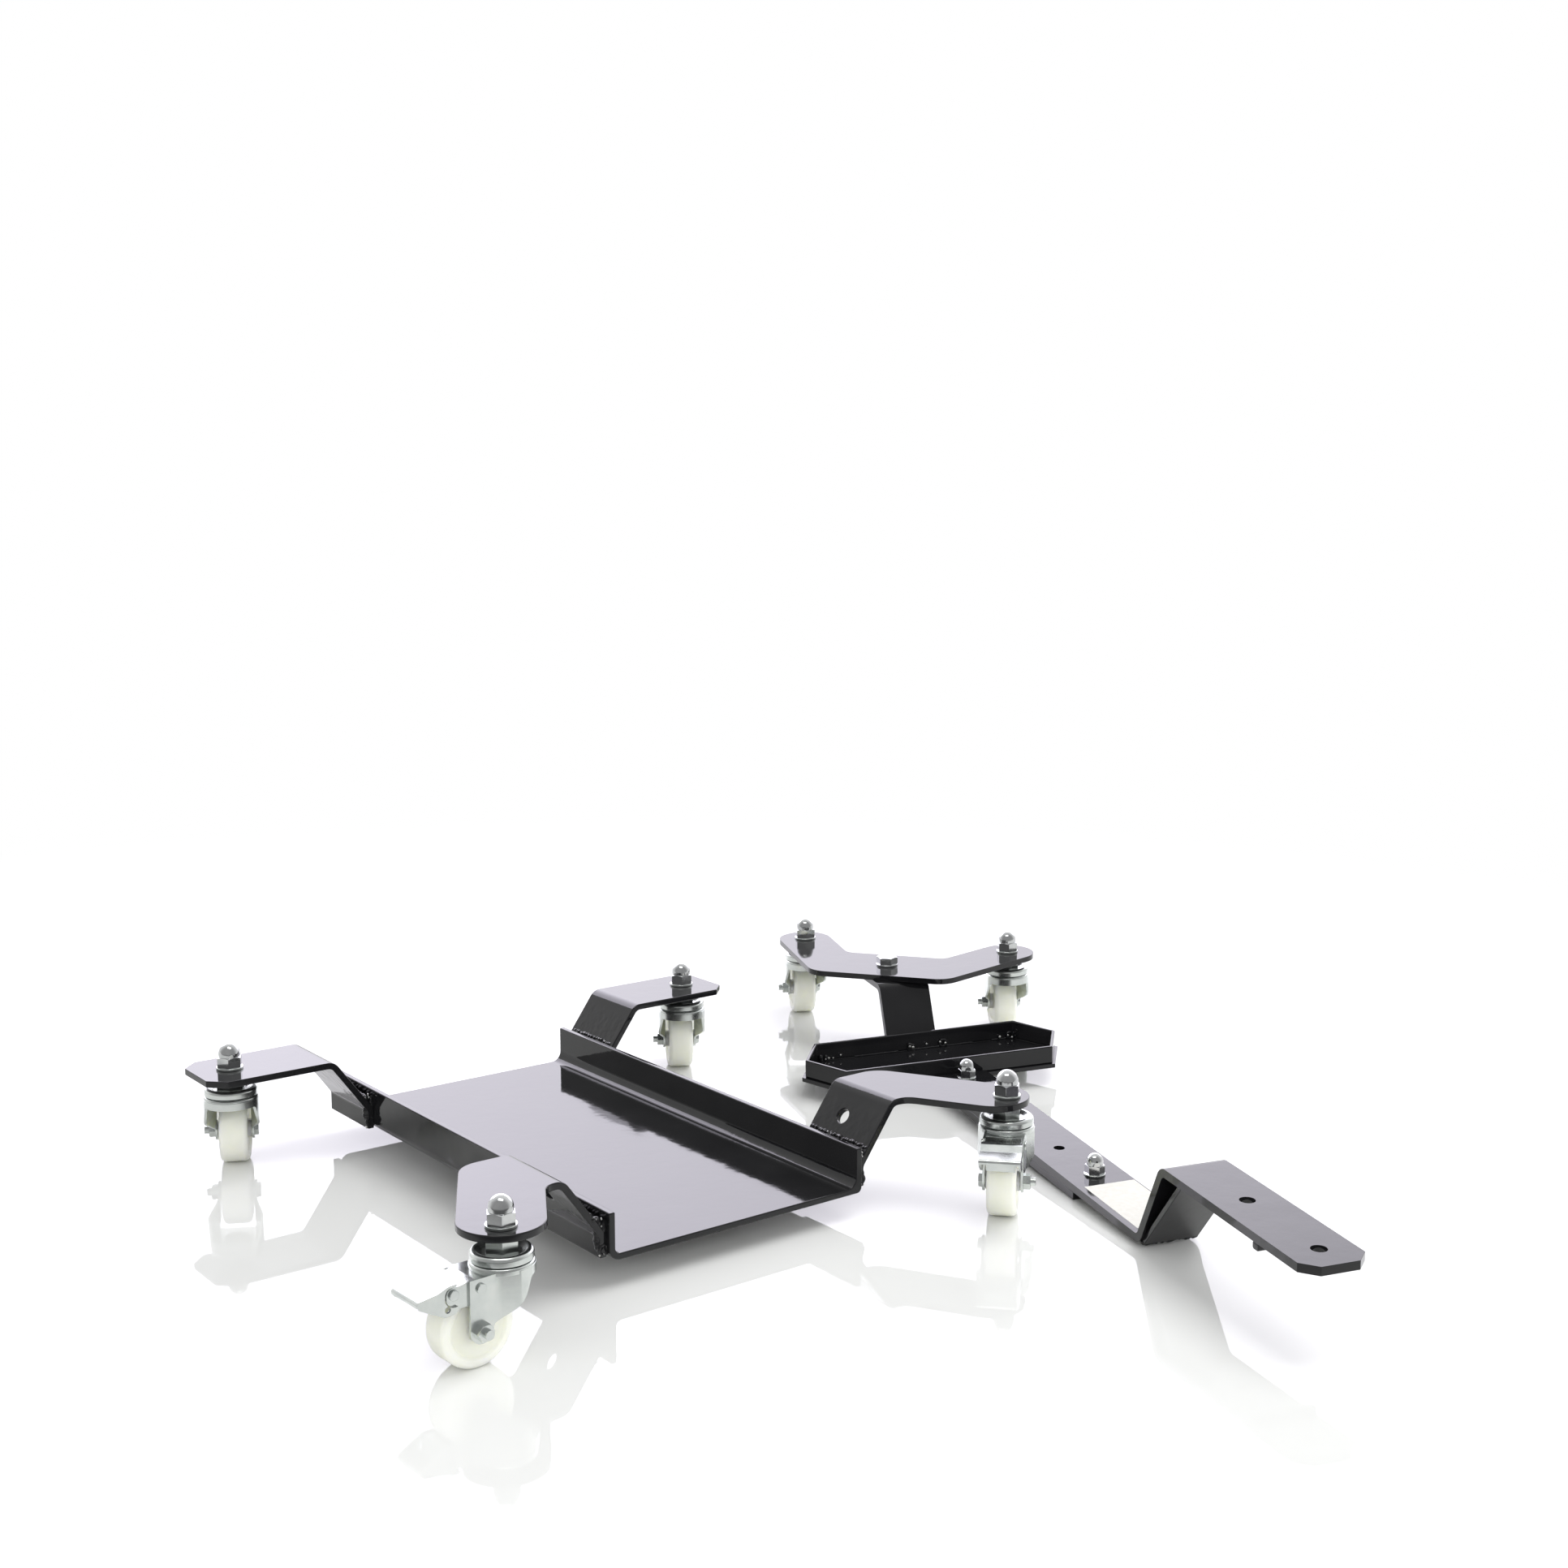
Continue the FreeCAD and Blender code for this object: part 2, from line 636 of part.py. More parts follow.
def brake_pedal():
    pivot = brake_pivot_height
    tread = [(pedal_front, pivot + pedal_front_rise), (pedal_crest_back, pivot + pedal_crest_rise),
             (pedal_foot_back, pivot + pedal_foot_rise), (pedal_tip_back, pivot + pedal_tip_rise)]

    def under_tread(back):
        for (start, high), (finish, low) in zip(tread, tread[1:]):
            if back <= finish:
                return high + (low - high) * (back - start) / (finish - start) - pedal_sheet / 2

    lip_end = (pedal_tip_back, pivot + pedal_tip_rise - pedal_lip)
    bends = [0, pedal_tread_bend, pedal_tread_bend, pedal_bend, 0]
    body = pulled_across(sheet_corners(tread + [lip_end], pedal_sheet, bends), pedal_width)
    tip = pedal_tip_back - pedal_sheet
    low = pivot - pedal_flange_drop
    flange = [(pedal_front, under_tread(pedal_front), 0), (pedal_hook_front, pivot - pedal_hook_drop, 0),
              (pedal_hook_front + pedal_flange_radius, low, pedal_flange_radius),
              (pedal_flange_low_back, low, pedal_flange_radius), (tip, pivot - pedal_flange_tip_drop, 0),
              (tip, under_tread(tip), 0), (pedal_foot_back, under_tread(pedal_foot_back), 0),
              (pedal_crest_back, under_tread(pedal_crest_back), 0)]
    flanges = pulled_across(flange, pedal_width).cut(pulled_across(flange, pedal_width - 2 * pedal_sheet))
    slot = pin_across(2 * pedal_slot_radius, brake_pivot_back, pivot, -pedal_width, pedal_width)
    slot_end = pin_across(pedal_slot_end, pedal_slot_end_back, pivot - pedal_slot_end_drop, -pedal_width,
                          pedal_width)
    body = body.fuse(flanges.cut(slot).cut(slot_end))
    lug_front = brake_pivot_back - pedal_lug_radius
    lug_back = brake_pivot_back + pedal_lug_radius
    lug_low = pivot - pedal_lug_radius
    lug = [(lug_front, lug_low, pedal_lug_radius), (lug_back, lug_low, pedal_lug_radius),
           (lug_back, under_tread(lug_back), 0), (pedal_front, under_tread(pedal_front), 0),
           (lug_front, pivot, 0)]
    body = body.fuse(pulled_across(lug, pedal_inside).cut(pulled_across(lug, pedal_inside - 2 * pedal_sheet)))
    shoe = [(pedal_shoe_back, under_tread(pedal_shoe_back)), (pedal_shoe_back, pivot - pedal_shoe_drop),
            (pedal_shoe_tip, pivot - pedal_shoe_drop)]
    body = body.fuse(pulled_across(sheet_corners(shoe, pedal_sheet, [0, 0, 0]), pedal_shoe_width))
    bore = pin_across(brake_rivet + 2 * snug_gap, brake_pivot_back, pivot, -pedal_width, pedal_width)
    return body.cut(bore).removeSplitter()


# Adds one castor's moving pieces, placed by its stem.
def add_castor(name, placement, braked):
    add(name + "_fork", [brake_fork() if braked else fork()], placement)
    add(name + "_axle", [axle_bolt(), axle_nut()], placement)
    add(name + "_bush", [axle_bush()], placement)
    add(name + "_wheel", [castor_wheel()], placement)
    if braked:
        add(name + "_brake_bracket", [brake_bracket()], placement)
        add(name + "_brake_rivets", brake_rivets(), placement)
        add(name + "_brake_pedal", [brake_pedal()], placement)


# Adds the pieces of one castor that stay with the plate it is bolted to.
def add_stem(unit, sheet, placement):
    add(unit + "_castor_stems", [stem(sheet)], placement)
    add(unit + "_castor_caps", [cap()], placement)
    add(unit + "_castor_balls", balls(), placement)
    add(unit + "_dome_nuts", [stem_dome_nut(sheet)], placement)
    add(unit + "_washers", [stem_washer_ring(sheet)], placement)


# Bars of the stand arm, in its level frame
def bar_holes(diameter, first, pitch, count, bottom, top):
    return [moved(rod(diameter, bottom, top), Placement(along * (first + pitch * index), Rotation()))
            for index in range(count)]


def cut_all(body, cutters):
    for cutter in cutters:
        body = body.cut(cutter)
    return body


bar_bolt_last = bar_bolt_start + bar_hole_pitch * (bar_hole_count - 1)
bar_bolt_places = [Placement(along * place, Rotation()) for place in (bar_bolt_start, bar_bolt_last)]


def sink(head, bottom):
    return Part.makeCone(head / 2, bar_bolt / 2, (head - bar_bolt) / 2, up * bottom)


def lower_bar():
    path = [(-lower_bar_tail, bar_brow_top), (lower_bar_brow, bar_brow_top), (lower_bar_heel, lower_bar_top),
            (lower_bar_end, lower_bar_top)]
    body = pulled_across(sheet_corners(path, lower_bar_sheet, [bar_bend] * len(path)), bar_width)
    drill = rod(bar_bolt + 2 * bolt_gap, 0, upper_bar_top)
    countersink = sink(bar_bolt_head + 2 * bolt_gap, bar_underside)
    for place in bar_bolt_places:
        body = body.cut(moved(drill, place)).cut(moved(countersink, place))
    return body.cut(rod(pivot_bolt + 2 * bolt_gap, castor_height - overrun, castor_height + overrun))


def upper_bar():
    path = [(upper_bar_start, upper_bar_top), (upper_bar_heel, upper_bar_top), (upper_bar_brow, hook_top),
            (upper_bar_end, hook_top)]
    body = pulled_across(sheet_corners(path, upper_bar_sheet, [bar_bend] * len(path)), bar_width)
    half = bar_width / 2
    shoulder = upper_bar_end - hook_corner_cut
    plan = [(upper_bar_start, -half, 0), (shoulder, -half, 0), (upper_bar_end, -half + hook_corner_cut, 0),
            (upper_bar_end, half - hook_corner_cut, 0), (shoulder, half, 0), (upper_bar_start, half, 0)]
    body = body.common(plate(plan, 0, hook_top + overrun))
    bore = bar_bolt + 2 * bolt_gap
    top = hook_top + overrun
    body = cut_all(body, bar_holes(bore, bar_bolt_start, bar_hole_pitch, bar_hole_count, 0, hook_top))
    return cut_all(body, bar_holes(hook_hole, hook_hole_start, hook_hole_pitch, hook_hole_count, 0, top))


def hook_brace():
    rise = hook_underside - lower_bar_top
    lean_back = brace_sheet * hypot(rise, brace_top - brace_foot) / rise
    side = [(brace_foot, lower_bar_top, 0), (brace_top, hook_underside, 0),
            (brace_top - lean_back, hook_underside, 0), (brace_foot - lean_back, lower_bar_top, 0)]
    return pulled_across(side, brace_width).cut(upper_bar())


def stop_bar():
    half = stop_bar_width / 2
    low = hook_underside - stop_bar_depth
    return pulled_across([(stop_bar_at - half, hook_underside, 0), (stop_bar_at - half, low, stop_bar_round),
                          (stop_bar_at + half, low, stop_bar_round), (stop_bar_at + half, hook_underside, 0)],
                         bar_width)


def bar_bolt_solid():
    top = upper_bar_top + bar_washer_height + bar_thread_depth
    return sink(bar_bolt_head, bar_underside).fuse(rod(bar_bolt, bar_underside, top)).removeSplitter()


def bar_dome_nut():
    return dome_nut(bar_nut_across, bar_nut_hex, bar_nut_dome, bar_nut_height, bar_bolt, bar_thread_depth,
                    upper_bar_top + bar_washer_height)


def bar_washer_ring():
    return ring(bar_washer, bar_bolt + 2 * bolt_gap, upper_bar_top, bar_washer_height)


# Stand tray: plan of its wall, grown or shrunk evenly
def stand_tray_plan(grow, bottom, thickness):
    half = stand_tray_width / 2
    straight = stand_tray_straight / 2
    tip = stand_tray_reach / 2
    corners = [(-half, -straight, 0), (0, -tip, 0), (half, -straight, 0), (half, straight, 0), (0, tip, 0),
               (-half, straight, 0)]
    face = Part.Face(rounded_wire(corners))
    if grow:
        face = face.makeOffset2D(grow, sharp_corners)
    solid = face.extrude(up * thickness)
    solid.translate(Vector(stand_tray_at, stand_tray_shift, bottom))
    return solid


def stand_tray_base_plate():
    floor = stand_tray_plan(-stand_tray_wall - stand_floor_margin, stand_floor, overrun)
    return stand_tray_plan(stand_tray_lip, lower_bar_top, stand_tray_base).cut(floor)


def stand_tray_wall_ring():
    bottom = lower_bar_top + stand_tray_base
    wall = stand_tray_plan(0, bottom, stand_tray_wall_height)
    return wall.cut(stand_tray_plan(-stand_tray_wall, bottom - overrun, stand_tray_wall_height + 2 * overrun))


# Boomerang plate, square to the bar
boom_stems = [Vector(-boom_stem_back, -boom_stem_gap / 2, 0), Vector(-boom_stem_back, boom_stem_gap / 2, 0)]


def boom_plate():
    wing = Vector(-sin(radians(boom_wing_turn)), cos(radians(boom_wing_turn)), 0)
    outward = Vector(wing.y, -wing.x, 0)
    stem_spot = boom_stems[1]
    front = boom_waist / 2
    outer = stem_spot + outward * boom_end_radius
    inner = stem_spot - outward * boom_end_radius
    corner = outer - wing * ((outer.x - front) / wing.x)
    throat = inner - wing * ((inner.x + front) / wing.x)
    outer_end = outer + wing * boom_end_radius
    inner_end = inner + wing * boom_end_radius
    half = [(corner.x, corner.y, boom_corner_radius), (outer_end.x, outer_end.y, boom_end_radius),
            (inner_end.x, inner_end.y, boom_end_radius), (throat.x, throat.y, boom_throat_radius)]
    other = [(x, -y, rounding) for x, y, rounding in half]
    body = plate(half + other[::-1], castor_height, boom_sheet)
    body = body.cut(rod(pivot_bolt + 2 * turning_gap, castor_height - overrun, boom_top + overrun))
    return cut_all(body, [stem_hole(spot) for spot in boom_stems])


def pivot_bolt_solid():
    seat = boom_top + pivot_washer_height
    low = bar_brow_top - lower_bar_sheet - pivot_nut_height - pivot_tip
    head = hex_head(pivot_head_across, seat, pivot_head_height)
    return rod(pivot_bolt, low, seat).fuse(head).removeSplitter()


def pivot_washer_ring():
    return ring(pivot_washer, pivot_bolt + 2 * bolt_gap, boom_top, pivot_washer_height)


def pivot_nut():
    bottom = bar_brow_top - lower_bar_sheet - pivot_nut_height
    nut = hex_head(pivot_head_across, bottom, pivot_nut_height)
    return nut.cut(rod(pivot_bolt + 2 * snug_gap, bottom - overrun, castor_height))


# Rest of the stand arm: it leans on its two castors and on the near corner of the lower bar's end
stem_line = Vector(-cos(radians(boom_turn)), -sin(radians(boom_turn)), 0)
lean_axis = Vector(-sin(radians(boom_turn)), cos(radians(boom_turn)), 0)
rest_corner = Vector(lower_bar_end, -bar_width / 2, bar_underside)


def stand_lean():
    trail = 0
    for heading in (stand_near_trail, stand_far_trail):
        trail += wheel_trail * cos(radians(heading - stand_heading - half_turn - boom_turn)) / 2
    reach = boom_stem_back - rest_corner.dot(stem_line) + trail
    drop = axle_height - bar_underside
    return degrees(asin(axle_height / hypot(reach, drop)) - atan2(drop, reach))


stand_turn = Rotation(up, stand_heading).multiply(Rotation(lean_axis, stand_lean()))
stand_lift = -stand_turn.multVec(rest_corner).z
stand_pose = Placement(Vector(stand_foot_x, stand_foot_y, stand_lift), stand_turn)
boom_pose = stand_pose.multiply(Placement(Vector(), Rotation(up, boom_turn)))

tray_castors = {
    "front_left": (Vector(front_stem_ahead, -front_stem_side, 0), front_left_trail, True),
    "front_right": (Vector(front_stem_ahead, front_stem_side, 0), front_right_trail, True),
    "rear_left": (Vector(-rear_stem_back, -rear_stem_side, 0), rear_left_trail, False),
    "rear_right": (Vector(-rear_stem_back, rear_stem_side, 0), rear_right_trail, False),
}
stand_castors = {
    "stand_near": (boom_stems[0], stand_near_trail, False),
    "stand_far": (boom_stems[1], stand_far_trail, False),
}
castor_poses = {}
for castor_name, (spot, trail, braked) in tray_castors.items():
    castor_poses[castor_name] = Placement(spot, Rotation(up, trail))
for castor_name, (spot, trail, braked) in stand_castors.items():
    swing = Rotation(up, trail - stand_heading - boom_turn)
    castor_poses[castor_name] = boom_pose.multiply(Placement(spot, swing))


def build():
    add("wheel_tray", [wheel_tray()])
    right_front = front_arm()
    right_rear = rear_arm()
    add("front_right_arm", [right_front])
    add("rear_right_arm", [right_rear])
    add("front_left_arm", [right_front.mirror(Vector(), across)])
    add("rear_left_arm", [right_rear.mirror(Vector(), across)])
    for name, (spot, trail, braked) in tray_castors.items():
        add_stem("tray", arm_sheet, castor_poses[name])
        add_castor(name, castor_poses[name], braked)
    for name, (spot, trail, braked) in stand_castors.items():
        add_stem("stand", boom_sheet, castor_poses[name])
        add_castor(name, castor_poses[name], braked)
    add("boomerang_plate", [boom_plate()], boom_pose)
    add("pivot_bolt", [pivot_bolt_solid()], stand_pose)
    add("pivot_washer", [pivot_washer_ring()], stand_pose)
    add("pivot_nut", [pivot_nut()], stand_pose)
    add("lower_bar", [lower_bar()], stand_pose)
    add("upper_bar", [upper_bar()], stand_pose)
    add("hook_brace", [hook_brace()], stand_pose)
    add("stop_bar", [stop_bar()], stand_pose)
    add("stand_tray_base", [stand_tray_base_plate()], stand_pose)
    add("stand_tray_wall", [stand_tray_wall_ring()], stand_pose)
    for place in bar_bolt_places:
        seat = stand_pose.multiply(place)
        add("bar_bolts", [bar_bolt_solid()], seat)
        add("bar_dome_nuts", [bar_dome_nut()], seat)
        add("bar_washers", [bar_washer_ring()], seat)


def save():
    os.makedirs("parts", exist_ok=True)
    for node, shapes in nodes.items():
        for shape in shapes:
            shape.translate(up * -tray_floor)
        whole = shapes[0] if len(shapes) == 1 else Part.makeCompound(shapes)
        whole.exportStep("parts/" + node + ".step")


build()
save()
print(len(nodes), "nodes")
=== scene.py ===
import bpy, bmesh, json, math, random
from mathutils import Matrix, Vector

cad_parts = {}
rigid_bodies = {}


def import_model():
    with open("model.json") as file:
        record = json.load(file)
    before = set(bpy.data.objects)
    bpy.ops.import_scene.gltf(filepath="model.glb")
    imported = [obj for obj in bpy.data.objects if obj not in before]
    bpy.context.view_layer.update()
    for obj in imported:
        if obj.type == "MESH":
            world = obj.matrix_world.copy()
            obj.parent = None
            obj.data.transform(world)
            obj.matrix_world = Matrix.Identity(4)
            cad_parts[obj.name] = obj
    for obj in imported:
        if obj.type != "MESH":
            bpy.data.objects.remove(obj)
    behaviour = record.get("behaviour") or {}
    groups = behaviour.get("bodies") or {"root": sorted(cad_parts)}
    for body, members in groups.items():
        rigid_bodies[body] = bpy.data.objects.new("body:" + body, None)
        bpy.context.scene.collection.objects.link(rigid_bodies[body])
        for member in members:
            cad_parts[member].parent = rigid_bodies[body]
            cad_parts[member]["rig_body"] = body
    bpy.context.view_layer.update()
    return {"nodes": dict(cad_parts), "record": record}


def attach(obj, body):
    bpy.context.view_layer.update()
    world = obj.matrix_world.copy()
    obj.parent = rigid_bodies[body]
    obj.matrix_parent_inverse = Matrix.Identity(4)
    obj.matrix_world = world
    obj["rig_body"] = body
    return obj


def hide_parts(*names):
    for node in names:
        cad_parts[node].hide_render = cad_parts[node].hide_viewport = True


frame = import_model()
print("frame loaded:", len(frame["nodes"]), "nodes")

scene = bpy.context.scene
scene.view_settings.view_transform = "Standard"
millimetre = 0.001
axisX, axisY, axisZ = [Vector(row) for row in Matrix.Identity(3)]


# camera at the photo's own place and lens
view = {
    "place": (1.25726, -0.78158, 0.49994),
    "ahead": (-0.7819, 0.6047, -0.1514),
    "lens": 46.587,
    "sensor": 36.0,
}


def addCamera():
    data = bpy.data.cameras.new("camera")
    data.lens = view["lens"]
    data.sensor_width = view["sensor"]
    camera = bpy.data.objects.new("camera", data)
    scene.collection.objects.link(camera)
    camera.location = view["place"]
    camera.rotation_euler = Vector(view["ahead"]).to_track_quat("-Z", "Y").to_euler()
    scene.camera = camera


addCamera()


# node helpers for the finishes
def newFinish(name):
    material = bpy.data.materials.new(name)
    material.use_nodes = True
    tree = material.node_tree
    shader = tree.nodes["Principled BSDF"]
    return material, tree, shader


def objectPoint(tree):
    return tree.nodes.new("ShaderNodeTexCoord").outputs["Object"]


def noise(tree, scale, detail, rough=0.5):
    node = tree.nodes.new("ShaderNodeTexNoise")
    node.inputs["Scale"].default_value = scale
    node.inputs["Detail"].default_value = detail
    node.inputs["Roughness"].default_value = rough
    tree.links.new(objectPoint(tree), node.inputs["Vector"])
    return node.outputs["Fac"]


def ramp(tree, value, stops):
    node = tree.nodes.new("ShaderNodeValToRGB")
    points = node.color_ramp.elements
    points[0].position, points[0].color = stops[0][0], (*stops[0][1], 1)
    points[1].position, points[1].color = stops[-1][0], (*stops[-1][1], 1)
    for place, colour in stops[1:-1]:
        points.new(place).color = (*colour, 1)
    tree.links.new(value, node.inputs["Fac"])
    return node.outputs["Color"]


def spread(tree, value, low, high):
    node = tree.nodes.new("ShaderNodeMapRange")
    node.inputs["To Min"].default_value = low
    node.inputs["To Max"].default_value = high
    tree.links.new(value, node.inputs["Value"])
    return node.outputs["Result"]


def ease(tree, value, run, curve="SMOOTHSTEP"):
    node = tree.nodes.new("ShaderNodeMapRange")
    node.interpolation_type = curve
    for socket, level in zip(("From Min", "From Max", "To Min", "To Max"), run):
        node.inputs[socket].default_value = level
    tree.links.new(value, node.inputs["Value"])
    return node.outputs["Result"]


def times(tree, first, second, operation="MULTIPLY"):
    node = tree.nodes.new("ShaderNodeMath")
    node.operation = operation
    tree.links.new(first, node.inputs[0])
    tree.links.new(second, node.inputs[1])
    return node.outputs["Value"]


def partOf(tree, point, axis):
    node = tree.nodes.new("ShaderNodeSeparateXYZ")
    tree.links.new(point, node.inputs[0])
    return node.outputs[axis]


def reachAlong(tree, point, direction):
    node = tree.nodes.new("ShaderNodeVectorMath")
    node.operation = "DOT_PRODUCT"
    node.inputs[1].default_value = direction
    tree.links.new(point, node.inputs[0])
    return node.outputs["Value"]


# a layer of relief is noise scale and detail, then bump strength and depth in metres
def relief(tree, shader, layer, under=None, mask=None):
    scale, detail, strength, depth = layer
    height = noise(tree, scale, detail)
    if mask:
        height = times(tree, height, mask)
    node = tree.nodes.new("ShaderNodeBump")
    node.inputs["Strength"].default_value = strength
    node.inputs["Distance"].default_value = depth
    tree.links.new(height, node.inputs["Height"])
    if under:
        tree.links.new(under, node.inputs["Normal"])
    tree.links.new(node.outputs["Normal"], shader.inputs["Normal"])
    return node.outputs["Normal"]


# tone and wear are the noises under a finish's colours and gloss
def coat(name, finish):
    material, tree, shader = newFinish(name)
    tree.links.new(ramp(tree, noise(tree, *finish["tone"]), finish["colours"]), shader.inputs["Base Color"])
    tree.links.new(spread(tree, noise(tree, *finish["wear"]), *finish["gloss"]), shader.inputs["Roughness"])
    if "grain" in finish:
        relief(tree, shader, finish["grain"])
    return material, tree, shader


# gloss black paint over steel plate
paint = {
    "tone": (18, 4), "colours": [(0.35, (0.006, 0.006, 0.007)), (0.7, (0.011, 0.011, 0.012))],
    "wear": (35, 3), "gloss": (0.045, 0.09),
    "refraction": 1.45,
    "wave": (26, 4, 1.0, 0.00026),
    "peel": (260, 2, 0.12, 0.00004),
    "ripple": (170, 1, 0.5, 0.0006),
    "rippleLow": (0.022, 0.030, 0.0, 1.0),
    "rippleHigh": (0.042, 0.050, 1.0, 0.0),
}


def makePaint(name, rippled=False):
    material, tree, shader = coat(name, paint)
    shader.inputs["IOR"].default_value = paint["refraction"]
    wave = relief(tree, shader, paint["wave"])  # the sheet is a little wavy under its paint
    peel = relief(tree, shader, paint["peel"], wave)
    if rippled:
        # paint sags over the weld heat marks, between the flange rim and the upper bend
        height = partOf(tree, objectPoint(tree), "Z")
        slope = times(tree, ease(tree, height, paint["rippleLow"]), ease(tree, height, paint["rippleHigh"]))
        relief(tree, shader, paint["ripple"], peel, slope)
    return material


# bright zinc plate on pressed steel
zinc = {
    "tone": (60, 5, 0.6),
    "colours": [(0.3, (0.60, 0.63, 0.62)), (0.55, (0.70, 0.73, 0.71)), (0.8, (0.76, 0.77, 0.74))],
    "wear": (140, 4), "gloss": (0.16, 0.30),
    "grain": (900, 2, 0.25, 0.00003),
}

# polished plate of the dome nuts and hex bolts
nutPlate = {
    "tone": (120, 4), "colours": [(0.3, (0.52, 0.53, 0.54)), (0.7, (0.66, 0.67, 0.67))],
    "wear": (300, 3), "gloss": (0.09, 0.16),
    "grain": (700, 2, 0.12, 0.00002),
}

# painted highlight: the weld spatter gets a bright steel colour, standing in for the glints on its shiny
# black paint
spatterGlint = {
    "tone": (900, 3), "colours": [(0.3, (0.62, 0.62, 0.60)), (0.7, (0.82, 0.82, 0.80))],
    "wear": (1200, 2), "gloss": (0.2, 0.4),
}


def makeMetal(name, metal):
    material, tree, shader = coat(name, metal)
    shader.inputs["Metallic"].default_value = 1.0
    return material


# ivory nylon of the castor wheels
nylon = {
    "tone": (45, 4), "colours": [(0.3, (0.81, 0.82, 0.72)), (0.7, (0.87, 0.87, 0.78))],
    "wear": (90, 3), "gloss": (0.28, 0.42),
    "grain": (500, 3, 0.15, 0.00004),
    "glow": 0.85, "glowReach": (0.022, 0.022, 0.017),
}


def makeNylon():
    material, tree, shader = coat("ivoryNylon", nylon)
    shader.inputs["Subsurface Weight"].default_value = nylon["glow"]
    shader.inputs["Subsurface Radius"].default_value = nylon["glowReach"]
    shader.inputs["Subsurface Scale"].default_value = 1.0
    return material


# bare paper of the label
paper = {
    "tone": (250, 5), "colours": [(0.35, (0.75, 0.73, 0.70)), (0.7, (0.80, 0.79, 0.77))],
    "wear": (80, 2), "gloss": (0.7, 0.85),
    "grain": (1500, 3, 0.2, 0.00003),
    "sheen": 0.1,
}


def makePaper():
    material, tree, shader = coat("barePaper", paper)
    shader.inputs["Specular IOR Level"].default_value = paper["sheen"]
    return material


finishes = {
    "paint": makePaint("glossBlackPaint"),
    "armPaint": makePaint("rippledBlackPaint", rippled=True),
    "zinc": makeMetal("brightZincPlate", zinc),
    "nut": makeMetal("polishedNutPlate", nutPlate),
    "nylon": makeNylon(),
    "paper": makePaper(),
    "spatter": makeMetal("spatterPaintedHighlight", spatterGlint),
}
print("finishes made:", len(finishes))

paintedNodes = ["wheel_tray", "front_left_arm", "front_right_arm", "rear_left_arm", "rear_right_arm",
                "lower_bar", "upper_bar", "hook_brace", "stop_bar", "stand_tray_base", "stand_tray_wall",
                "boomerang_plate"]


def finishOf(node):
    if node.endswith("_arm"):
        return finishes["armPaint"]
    if node in paintedNodes:
        return finishes["paint"]
    if node.endswith("_wheel"):
        return finishes["nylon"]
    if node.endswith("_dome_nuts") or node.startswith("pivot_"):
        return finishes["nut"]
    return finishes["zinc"]


def dress(thing, material):
    thing.data.materials.clear()
    thing.data.materials.append(material)


for node, thing in frame["nodes"].items():
    dress(thing, finishOf(node))


# plates and pressings with their edges eased, standing for the sharp solids
easing = {"plate": (0.9, 3), "press": (0.35, 2), "nut": (0.3, 2)}  # width in millimetres, segments
easedEdge = {"mergeWithin": 0.00001, "flatWithin": 0.8, "sharpFrom": 40.0, "faceWeight": 100}
hiddenNodes = ("_balls", "_bush")


def easedCopy(node, width, segments):
    source = frame["nodes"][node]
    mesh = source.data.copy()
    shell = bmesh.new()
    shell.from_mesh(mesh)
    bmesh.ops.remove_doubles(shell, verts=shell.verts, dist=easedEdge["mergeWithin"])
    bmesh.ops.dissolve_limit(shell, angle_limit=math.radians(easedEdge["flatWithin"]), verts=shell.verts,
                             edges=shell.edges)
    shell.to_mesh(mesh)
    shell.free()
    piece = bpy.data.objects.new(node + "_eased", mesh)
    scene.collection.objects.link(piece)
    for face in mesh.polygons:
        face.use_smooth = True
    edge = piece.modifiers.new("easedEdges", "BEVEL")
    edge.width = width * millimetre
    edge.segments = segments
    edge.limit_method = "ANGLE"
    edge.angle_limit = math.radians(easedEdge["sharpFrom"])
    edge.use_clamp_overlap = True
    flat = piece.modifiers.new("flatFaces", "WEIGHTED_NORMAL")
    flat.weight = easedEdge["faceWeight"]
    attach(piece, source["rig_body"])
    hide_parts(node)
    return piece


def easingOf(node):
    if node in paintedNodes:
        return easing["plate"]
    if finishOf(node) == finishes["nut"]:
        return easing["nut"]
    return easing["press"]


eased = [node for node in frame["nodes"] if not node.endswith(hiddenNodes)]
for node in eased:
    easedCopy(node, *easingOf(node))
print("eased pieces:", len(eased))

# the stand arm's own directions, from the two hook holes of the record
mounts = {mount["name"]: mount for mount in frame["record"]["mounts"]}
hookFrame = {"firstHole": 0.617, "holeHeight": 0.0854}


def standDirections():
    near = Vector(mounts["hook_hole_1"]["pos_m"])
    far = Vector(mounts["hook_hole_2"]["pos_m"])
    along = (far - near).normalized()
    upward = Vector(mounts["hook_hole_1"]["axis"]).normalized()
    across = upward.cross(along)
    corner = near - along * hookFrame["firstHole"] - upward * hookFrame["holeHeight"]
    return Matrix.Translation(corner) @ Matrix((along, across, upward)).transposed().to_4x4()


standPlace = standDirections()


def linkPiece(name, shell, body, material, smooth=True):
    mesh = bpy.data.meshes.new(name)
    shell.to_mesh(mesh)
    shell.free()
    for face in mesh.polygons:
        face.use_smooth = smooth
    piece = bpy.data.objects.new(name, mesh)
    scene.collection.objects.link(piece)
    dress(piece, material)
    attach(piece, body)
    return piece


# weld beads: overlapping drops laid along a line or round a crater, melted together
weld = {
    "step": 0.7, "wander": 0.16, "swell": 0.14, "dropCuts": 2,
    "grain": 0.00045, "settleBy": 0.5, "settleTimes": 2,
    "speckWander": 0.9, "speckSpread": (0.35, 1.0),
}


